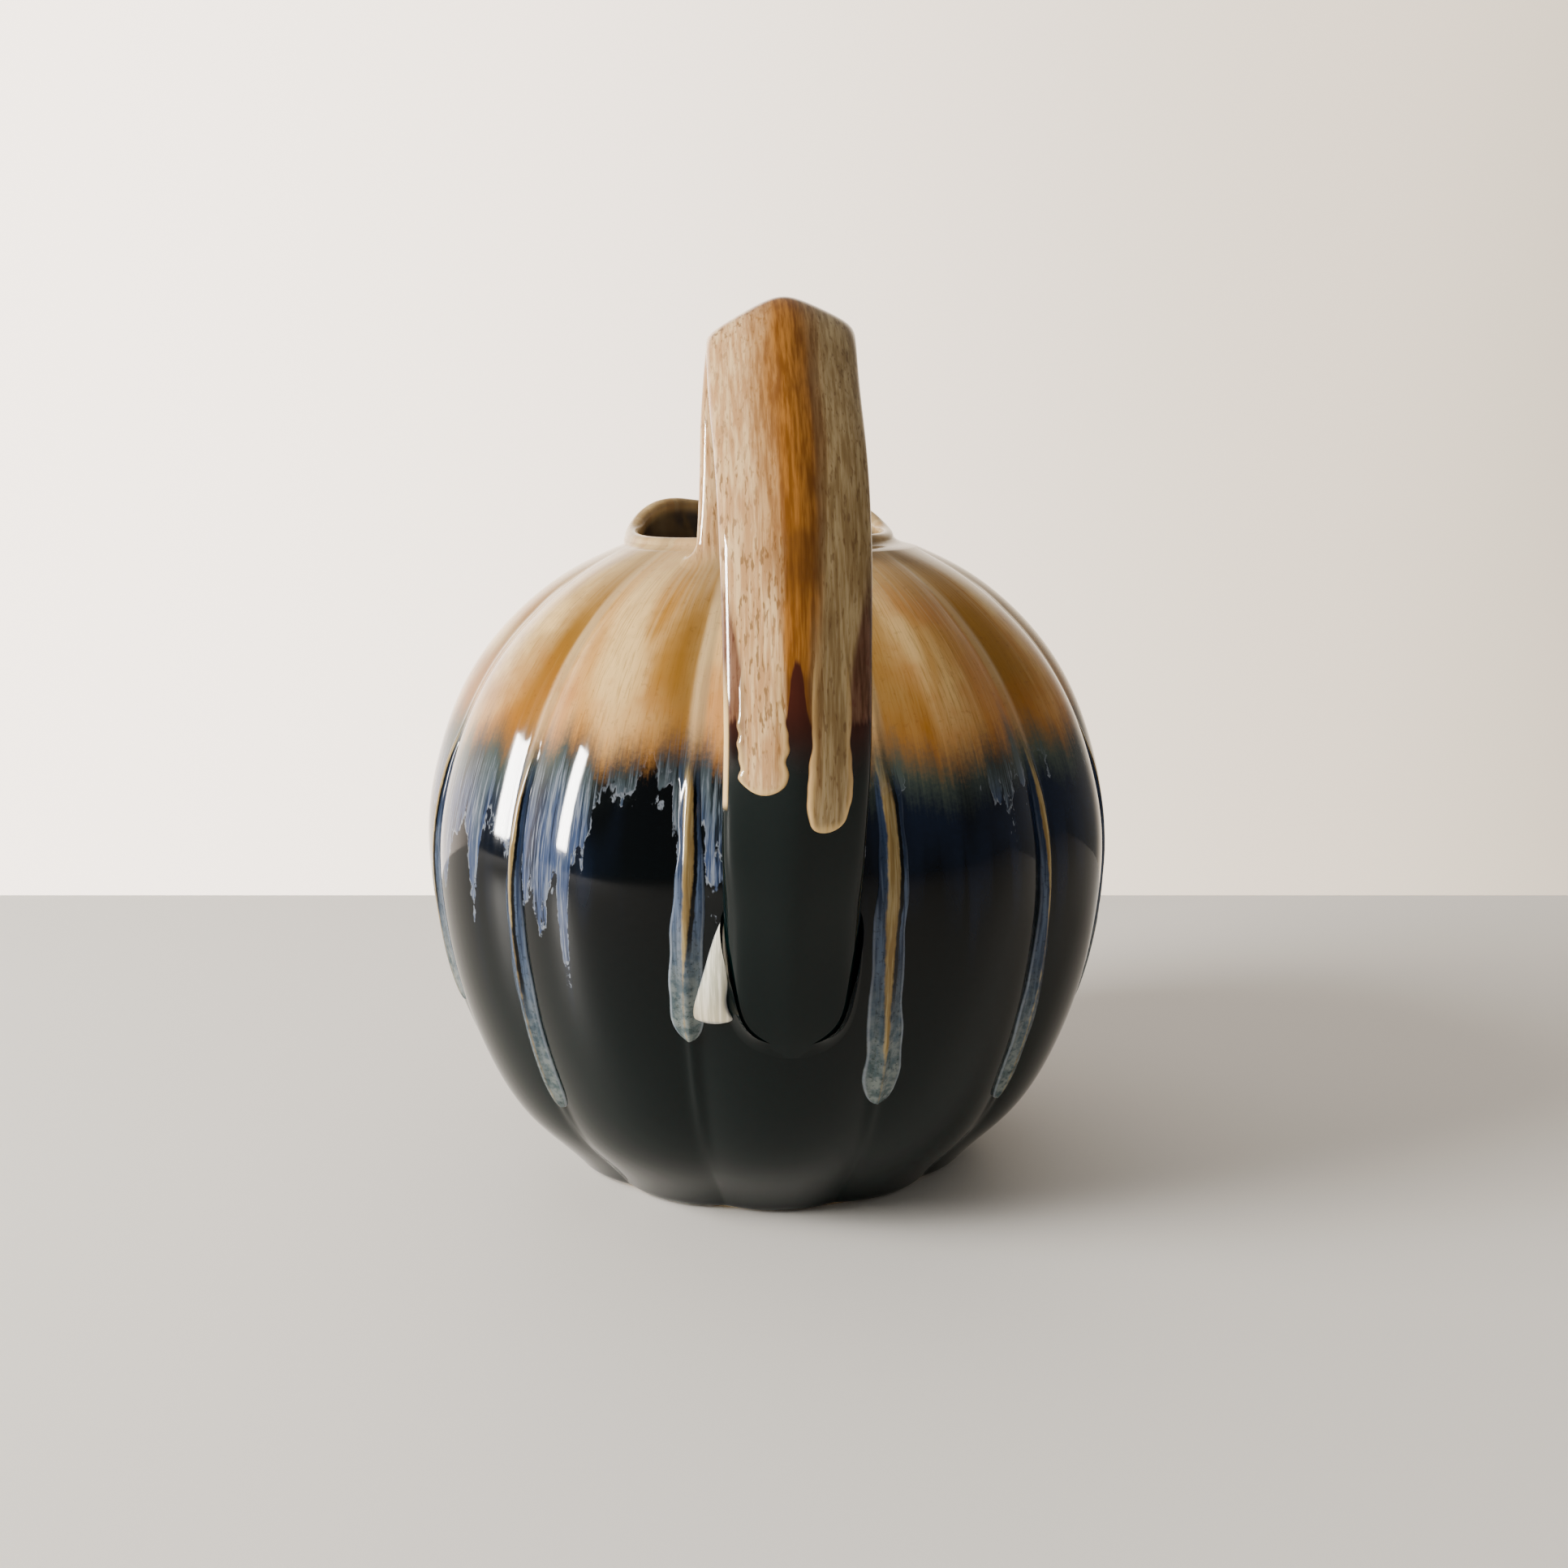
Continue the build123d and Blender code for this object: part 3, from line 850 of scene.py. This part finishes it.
def shoulder_colour(p):
    """Tan, ochre and cream in long fine streaks, paler by the mouth and along the grooves, with ochre as
    painted shade on one flank of each groove.
    """
    lane, far_side = p.value("lane"), p.value("far_side")
    fine = p.streaks(0.05, 58, 3, 0.6)
    thread = p.streaks(0.09, 170, 3, 0.65, shift=9.0)
    broad = p.streaks(0.35, 5.5, 2, 0.5, shift=3.0)
    patch = p.noise(p.place, 34, 4, 0.6)
    grain = p.noise(p.place, 800, 2, 0.6)
    base = p.mix(p.step(broad, 0.36, 0.60), TAN, CREAM)
    base = p.mix(p.times(p.step(patch, 0.50, 0.66), 0.60), base, PEACH)
    base = p.mix(p.times(p.step(patch, 0.48, 0.34), 0.45), base, OCHRE)
    base = p.mix(p.times(p.step(fine, 0.50, 0.70), 0.28), base, CREAM)
    base = p.mix(p.times(p.step(thread, 0.52, 0.32), 0.42), base, OCHRE)
    # painted shade: ochre on the side of each groove away from the handle, the flank that turns from the
    # light on the jug's left half; peach on the other side
    near = p.step(p.add(lane, p.sway(broad, 0.14)), 0.20, 0.06)
    ochre = p.times(p.step(far_side, 0.05, 0.40), near)
    base = p.mix(p.times(ochre, 0.80), base, OCHRE)
    peach = p.times(p.times(p.step(far_side, -0.05, -0.40), near), p.step(p.height, 1.72, 1.42))
    base = p.mix(p.times(peach, 0.50), base, PEACH)
    base = p.mix(p.times(p.step(lane, 0.034, 0.014), 0.60), base, GREY_CREAM)
    near_mouth = p.step(p.add(p.height, p.sway(fine, 0.25)), 1.62, 1.82)
    base = p.mix(p.times(near_mouth, 0.62), base, GREY_CREAM)
    low_amber = p.step(p.add(p.height, p.sway(patch, 0.6)), 1.52, 1.34)
    base = p.mix(p.times(low_amber, 0.45), base, AMBER)
    return p.mix(p.times(p.step(grain, 0.60, 0.72), 0.18), base, UMBER), fine


def broken(p, fall, strand, wide, shift):
    """Glaze that thins out to a ragged lower end: how much of it there is, and its pale outline."""
    ragged = p.streaks(0.55, 34, 3, 0.6, shift=shift, warp=0.6)
    # the veil thins on the jug's right and spreads on its left: partly the glaze's own unevenness, partly
    # painted shade on the shaded right and painted light on the lit left
    right_thinning_and_shade = p.times(p.step(p.math("DIVIDE", p.x, BELLY), -0.1, 0.4), 0.70)
    left_spread_and_light = p.times(p.step(p.math("DIVIDE", p.x, BELLY), -0.45, -0.80), 0.60)
    level = p.add(p.add(p.add(fall, 0.12), right_thinning_and_shade), p.sway(ragged, 1.0))
    level = p.less(p.add(level, p.times(p.value("far_side"), 0.50)), left_spread_and_light)
    level = p.add(level, p.add(p.times(p.less(0.5, strand), 1.3), p.times(p.less(0.5, wide), 2.0)))
    there = p.step(level, 1.0, 0.90)
    dots = p.step(p.noise(p.place, 420, 2, 0.6), 0.42, 0.52)
    line = p.times(p.times(p.step(level, 0.91, 0.975), p.step(level, 1.035, 0.985)), dots)
    return there, line


def belly_colour(p):
    """Tan above, a feathered sea-green fringe, broken blue streaks, and green-black below."""
    upper, fine = shoulder_colour(p)
    tan_line, blue_line = p.value("tan_line"), p.value("blue_line")
    strand = p.streaks(0.035, 19, 2, 0.5, shift=11.0)
    hair = p.streaks(0.05, 130, 3, 0.65, shift=17.0)
    wide = p.streaks(0.20, 3.6, 2, 0.5, shift=5.0)
    grain = p.noise(p.place, 1000, 2, 0.7)
    feather = p.add(p.sway(hair, 0.07), p.sway(strand, 0.12))
    feather = p.add(feather, p.sway(grain, 0.05))
    below = p.add(p.less(tan_line, p.height), feather)
    fall = p.math("DIVIDE", p.less(tan_line, p.height), p.less(tan_line, blue_line))
    lower = p.mix(p.step(p.height, 0.3, 1.2), DARK, BLACK)
    navy = p.times(p.step(wide, 0.44, 0.58), p.times(p.step(fall, 2.0, 0.8), 0.60))
    lower = p.mix(navy, lower, NAVY)
    there, line = broken(p, fall, strand, wide, 7.0)
    veil = p.mix(p.step(fall, 0.25, 0.95), SLATE, BLUE)
    veil = p.mix(p.times(p.step(hair, 0.50, 0.66), 0.70), veil, PALE_BLUE)
    gaps = p.step(p.add(hair, p.sway(strand, 0.8)), 0.50, 0.38)
    veil = p.mix(p.times(gaps, 0.85), veil, lower)
    base = p.mix(p.times(there, 0.78), lower, veil)
    base = p.mix(p.times(line, 0.60), base, PALE_BLUE)
    sea = p.mix(p.step(wide, 0.40, 0.60), lower, SEA)
    base = p.mix(p.times(p.step(below, 0.15, 0.03), p.step(wide, 0.30, 0.55, 0.55, 1.0)), base, sea)
    base = p.mix(p.step(below, 0.070, -0.070), base, upper)
    return base, fine


def belly_material():
    p = Paint("belly_glaze")
    base, fine = belly_colour(p)
    throat = p.mix(p.noise(p.place, 60, 3), *THROAT_BROWN)
    base = p.mix(p.step(p.value("inside"), 0.0, 1.0), base, throat)
    p.bump(p.noise(p.place, 90, 2, 0.4), 0.20, 0.10)
    return p.finish(base, p.step(fine, 0.3, 0.8, 0.05, 0.12))


def run_material():
    """A run: a tan thread down its middle, and grey-blue sides that show only in its lower part."""
    p = Paint("run_glaze")
    around, _ = belly_colour(p)
    place, side, core = p.value("place"), p.value("side"), p.value("core")
    streak = p.streaks(0.05, 110, 3, 0.6, shift=2.0)
    cloud = p.noise(p.place, 420, 3, 0.6)
    pit = p.noise(p.place, 1300, 2, 0.6)
    blue = p.mix(p.step(streak, 0.38, 0.66), *RUN_BLUE)
    tip = p.mix(p.step(cloud, 0.36, 0.64), *RUN_GREY)
    blue = p.mix(p.times(p.step(place, 0.50, 0.95), 0.85), blue, tip)
    blue = p.mix(p.times(p.step(pit, 0.58, 0.68), 0.45), blue, DARK)
    upper_sides = p.step(p.add(place, p.sway(streak, 0.8)), 0.50, 0.30)
    blue = p.mix(p.times(upper_sides, 0.70), blue, NAVY)
    tan = p.mix(p.step(streak, 0.4, 0.68), *RUN_TAN)
    inner = p.add(core, p.sway(cloud, 0.20))
    gap = p.times(p.step(inner, -0.34, -0.24), p.step(side, -0.05, 0.05))
    run = p.mix(p.times(gap, p.step(place, 0.75, 0.60)), blue, BLACK)
    run = p.mix(p.step(inner, -0.10, 0.06), run, tan)
    edge = p.math("ABSOLUTE", side)
    rim = p.times(p.step(edge, 0.78, 0.90), p.step(edge, 1.0, 0.92))
    run = p.mix(p.times(rim, p.step(place, 0.3, 0.8, 0.05, 0.50)), run, PALE_BLUE)
    run = p.mix(p.times(p.step(edge, 0.94, 1.0), 0.6), run, DARK)
    base = p.mix(p.step(p.add(place, p.sway(streak, 0.15)), 0.03, 0.16), around, run)
    p.bump(p.noise(p.place, 160, 2, 0.4), 0.20, 0.08)
    return p.finish(base, 0.08)


def strap_colour(p, tan_line):
    """Cream facet, amber ridge and the right facet's tan in grey-tan painted shade above; oxblood and
    green-black below.
    """
    across = p.value("across")
    flow = p.stretched(1.0, 0.10, 0.075)
    fine = p.noise(flow, 1150, 3, 0.6)
    soft = p.noise(flow, 260, 2, 0.5)
    fleck = p.noise(p.stretched(1.0, 0.3, 0.20), 1500, 2, 0.6)
    patch = p.noise(p.place, 55, 2, 0.5)
    pale = p.mix(p.step(fine, 0.38, 0.68), *CREAM_FACET)
    pale = p.mix(p.times(p.step(fleck, 0.54, 0.64), p.step(patch, 0.35, 0.60, 0.35, 0.85)), pale, SPECKLE)
    amber = p.mix(p.step(fine, 0.35, 0.7), *AMBER_RIDGE)
    amber = p.mix(p.times(p.step(patch, 0.48, 0.66), 0.6), amber, AMBER_DEEP)
    # the right facet: the tan glaze greyed and darkened as painted shade, with umber specks
    grey = p.mix(p.step(fine, 0.35, 0.7), *SHADED_FACET)
    grey = p.mix(p.times(p.step(fleck, 0.56, 0.68), 0.45), grey, UMBER)
    wander = p.add(across, p.sway(soft, 0.42))
    lower = p.step(p.height, 1.95, 1.60)
    amber_from, amber_full = p.add(-0.62, p.times(lower, 0.30)), p.less(-0.06, p.times(lower, 0.08))
    base = p.mix(p.step(wander, amber_from, amber_full), pale, amber)
    grey_from, grey_full = p.less(0.18, p.times(lower, 0.02)), p.less(0.56, p.times(lower, 0.20))
    base = p.mix(p.step(wander, grey_from, grey_full), base, grey)
    # painted shade: a dark umber line down the right side of the ridge, where the amber meets the right
    # facet
    painted_ridge_shade = p.times(p.step(wander, 0.20, 0.31), p.step(wander, 0.44, 0.32))
    painted_ridge_shade = p.times(painted_ridge_shade, p.times(p.step(p.height, 1.75, 1.95), p.step(p.height, 2.42, 2.25)))
    base = p.mix(p.times(painted_ridge_shade, 0.55), base, UMBER)
    red = p.mix(p.step(fine, 0.3, 0.7), OXBLOOD, MAUVE)
    # oxblood runs down both edges of the strap
    reach = p.times(p.step(p.height, 1.80, 1.50), 0.22)
    left = p.step(p.less(across, reach), -0.84, -0.93)
    right = p.step(p.add(across, reach), 0.88, 0.97)
    sides = p.times(p.math("MAXIMUM", left, right), p.step(p.height, 1.86, 1.66))
    base = p.mix(p.times(sides, 0.85), base, red)
    fade = p.less(p.add(p.height, p.sway(fine, 0.05)), tan_line)
    deep = p.mix(p.step(p.add(p.height, p.times(soft, 0.10)), 1.36, 1.58), DARK, OXBLOOD)
    base = p.mix(p.step(fade, -0.012, 0.012), deep, base)
    # a thin cream trickle on the left edge
    trickle = p.times(p.step(across, -1.01, -0.985), p.step(across, -0.88, -0.915))
    trickle = p.times(trickle, p.times(p.step(p.height, 1.245, 1.27), p.step(p.height, 1.62, 1.44)))
    return p.mix(trickle, base, CREAM), fine, fleck


def strap_material():
    p = Paint("handle_glaze")
    base, fine, _ = strap_colour(p, p.value("tan_line"))
    p.bump(p.noise(p.place, 140, 2, 0.4), 0.20, 0.10)
    return p.finish(base, p.step(fine, 0.3, 0.8, 0.05, 0.11))


def drip_material():
    p = Paint("drip_glaze")
    base, _, fleck = strap_colour(p, 0.5)
    side, place = p.value("side"), p.value("place")
    edge = p.math("ABSOLUTE", side)
    drip = p.mix(p.times(p.step(edge, 0.60, 0.90), p.step(place, 0.5, 0.9, 0.3, 0.8)), base, CREAM)
    drip = p.mix(p.times(p.step(edge, 0.90, 1.0), 0.70), drip, UMBER)
    tip = p.times(p.step(place, 0.93, 0.985), 0.60)
    drip = p.mix(tip, drip, CREAM)
    p.bump(fleck, 0.30, 0.08)
    return p.finish(p.mix(p.step(place, 0.05, 0.30), base, drip), 0.10)


def cream_material():
    p = Paint("cream_glaze")
    side, place = p.value("side"), p.value("place")
    fine = p.streaks(0.06, 130, 3, 0.6)
    base = p.mix(p.step(fine, 0.38, 0.64), *POOL_CREAM)
    base = p.mix(p.times(p.step(place, 0.6, 1.0), 0.35), base, POOL_SAND)
    outline = p.math("MAXIMUM", p.step(p.math("ABSOLUTE", side), 0.82, 0.90), p.step(place, 0.95, 0.98))
    base = p.mix(p.times(outline, 0.55), base, PALE_BLUE)
    outer = p.math("MAXIMUM", p.step(p.math("ABSOLUTE", side), 0.93, 1.0), p.step(place, 0.98, 1.0))
    base = p.mix(p.times(outer, 0.9), base, NAVY)
    p.bump(p.noise(p.place, 220, 2, 0.4), 0.20, 0.08)
    return p.finish(base, 0.08)


def joint_material():
    """The strap's glaze running out into the shoulder's round the strap's upper root."""
    p = Paint("joint_glaze")
    strap_base, _, _ = strap_colour(p, 0.9)
    upper, _ = shoulder_colour(p)
    return p.finish(p.mix(p.step(p.value("place"), 0.05, 0.80), strap_base, upper), 0.10)


def clay_material():
    p = Paint("bare_clay")
    grit = p.noise(p.place, 900, 4, 0.7)
    patch = p.noise(p.place, 60, 3)
    base = p.mix(p.step(grit, 0.35, 0.65), *CLAY)
    base = p.mix(p.times(p.step(patch, 0.5, 0.75), 0.5), base, CLAY_BROWN)
    p.bump(grit, 0.6, 0.15)
    return p.finish(base, p.step(grit, 0.3, 0.7, 0.70, 0.9))


# ---------------------------------------------------------------- build

wall, mouth, cavity = wall_rows(), mouth_rows(), cavity_rows()
whole = np.concatenate([wall[:-1], mouth[:-1], cavity])
whole_normals = grid_normals(whole, True)
first_mouth, first_cavity = len(wall) - 1, len(wall) + len(mouth) - 2

glaze = belly_material()
handle_glaze = strap_material()


def body_piece(name, rows, node):
    """Part of the one surface that goes up the outside, over the rim and down the inside."""
    points = whole[rows]
    past_rim = np.arange(len(whole))[rows][:, None] - (first_cavity - THROAT_ROWS - 1)
    values = line_values(points, smooth_step(past_rim, 0, 7))
    piece = grid_piece(name, points, round_columns=True, values=values, normals=whole_normals[rows])
    fit(piece, node, glaze)


body_piece("belly_outside", slice(0, first_mouth + 1), "body_shell")
body_piece("collar", slice(first_mouth, first_cavity + 1), "mouth_collar")
body_piece("belly_inside", slice(first_cavity, None), "body_shell")

strap, across = strap_grid()
strap_normals = grid_normals(strap, True, flip=True)
strap_values = {"across": across, "tan_line": strap_line(across)}
strap_piece = grid_piece("strap_handle", strap, round_columns=True, flip=True, values=strap_values)
fit(strap_piece, "handle", handle_glaze)

clay = tree_of(wall, mouth[:COLLAR_ROWS + ROLL_ROWS + 4])
middle_row = STRAP_ROWS // 2
tongue_contacts = meeting(strap, strap_normals, clay, list(range(middle_row, STRAP_ROWS)))
root_contacts = meeting(strap, strap_normals, clay, list(range(middle_row, -1, -1)))


def joint(name, contacts, surface, node, material):
    """The slip smoothed round one end of the strap."""
    grid, flip = surface
    values = line_values(grid)
    values["across"] = np.array([across[row, column] for _, _, _, column, row in contacts])[None, :]
    values["place"] = np.linspace(0, 1, len(grid))[:, None]
    piece = grid_piece(name, grid, round_columns=True, flip=flip, values=values)
    fit(piece, node, material)


tongue_fillet = fillet_grid(tongue_contacts, clay, TONGUE_REACH, TONGUE_SMOOTHING)
joint("tongue_luting", tongue_contacts, tongue_fillet, "lower_luting", glaze)
root_edge = line_above(root_contacts, strap, strap_normals, ROOT_ROWS_UP)
root_fillet = fillet_grid(root_contacts, clay, ROOT_REACH, ROOT_SMOOTHING, root_edge)
joint("root_luting", root_contacts, root_fillet, "upper_luting", joint_material())

run_glaze = run_material()
for number, facts in enumerate(GROOVE_RUNS, start=1):
    run = groove_run(f"glaze_run_{number:02d}", RUN_SEED + number, *facts)
    fit(run, f"groove_glaze_run_{number:02d}", run_glaze)

drip_glaze = drip_material()
for side, facts in STRAP_DRIPS.items():
    drip = strap_drip(f"strap_drip_{side}", strap, strap_normals, across, *facts)
    fit(drip, f"handle_glaze_drip_{side}", drip_glaze)

fit(cream_pool(), "cream_glaze_pool", cream_material())
fit(foot(), "foot_disc", clay_material())

# ---------------------------------------------------------------- floor, light and camera

# Camera: level, a little above the handle, tipped down, on the handle's side
CAMERA_AWAY, CAMERA_UP, CAMERA_SIDE = 4.940, 2.0685, 0.047
TIP, TURN = math.radians(11.223), math.radians(3.6)
TABLE_BEHIND = 2.70 * BELLY

# The table ends a little way behind the jug
bpy.ops.mesh.primitive_plane_add(size=8)
floor = bpy.context.object
floor.name = "floor"
floor.rotation_euler.z = -TURN
floor.location.y = TABLE_BEHIND - floor.dimensions.y / 2
paper = Paint("pale_floor")
paper.bump(paper.noise(paper.place, 260, 3, 0.5), 0.15, 0.2)
paper.finish(PAPER, 0.5)
floor.data.materials.append(paper.material)


def lamp(name, place, aim, wide, tall, power, tint, mirrored):
    """A soft lamp that is either seen in the glaze or lights the jug, not both."""
    data = bpy.data.lights.new(name, "AREA")
    data.shape = "RECTANGLE"
    data.size, data.size_y = wide, tall
    data.energy = power
    data.color = tint
    made = bpy.data.objects.new(name, data)
    made.location = place
    made.rotation_euler = (Vector(aim) - Vector(place)).to_track_quat("-Z", "Y").to_euler()
    made.visible_glossy = mirrored
    made.visible_diffuse = not mirrored
    bpy.context.scene.collection.objects.link(made)


DAYLIGHT = (1.0, 0.965, 0.91)
lamp("window", (-1.30, -0.42, 0.75), (0, 0, 0.08), 0.6, 0.9, 50, DAYLIGHT, False)
lamp("ceiling", (-0.2, 0.5, 1.7), (0, 0, 0.1), 1.8, 1.4, 5, DAYLIGHT, False)
lamp("window_pane", (-0.62, -0.160, 0.250), (0, 0, 0.12), 0.090, 0.26, 34, DAYLIGHT, True)

# The room: bright behind the jug and to its left, dim in front and to its right
world = bpy.data.worlds.new("room")
bpy.context.scene.world = world
world.use_nodes = True
nodes, links = world.node_tree.nodes, world.node_tree.links
where = nodes.new("ShaderNodeTexCoord")
split = nodes.new("ShaderNodeSeparateXYZ")
links.new(where.outputs["Generated"], split.inputs[0])


def room_mix(source, low, high, first, second):
    """A colour that goes from first to second as the direction's part goes from low to high."""
    fade = nodes.new("ShaderNodeMapRange")
    fade.interpolation_type = "SMOOTHSTEP"
    fade.inputs["From Min"].default_value = low
    fade.inputs["From Max"].default_value = high
    links.new(source, fade.inputs["Value"])
    tone = nodes.new("ShaderNodeMix")
    tone.data_type = "RGBA"
    links.new(fade.outputs[0], tone.inputs[0])
    for value, socket in ((first, tone.inputs[6]), (second, tone.inputs[7])):
        if isinstance(value, bpy.types.NodeSocket):
            links.new(value, socket)
        else:
            socket.default_value = (*value, 1)
    return tone.outputs[2]


behind = room_mix(split.outputs[0], -0.5, 0.5, (5.0, 4.3, 3.7), (1.85, 1.55, 1.20))
behind = room_mix(split.outputs[0], 0.36, 0.75, behind, (0.35, 0.33, 0.30))
behind = room_mix(split.outputs[2], 0.26, 0.55, behind, (0.40, 0.37, 0.33))
room = room_mix(split.outputs[1], -0.05, 0.55, (0.30, 0.29, 0.27), behind)
links.new(room, nodes["Background"].inputs["Color"])
nodes["Background"].inputs["Strength"].default_value = 1.0

camera = bpy.data.objects.new("camera", bpy.data.cameras.new("camera"))
bpy.context.scene.collection.objects.link(camera)
camera.location = Vector((
    CAMERA_SIDE * math.cos(TURN) - CAMERA_AWAY * math.sin(TURN),
    -CAMERA_SIDE * math.sin(TURN) - CAMERA_AWAY * math.cos(TURN),
    CAMERA_UP,
)) * BELLY
camera.rotation_euler = (math.pi / 2 - TIP, 0, -TURN)
camera.data.sensor_width = 36
camera.data.lens = 38.83
camera.data.clip_start = 0.01
bpy.context.scene.camera = camera
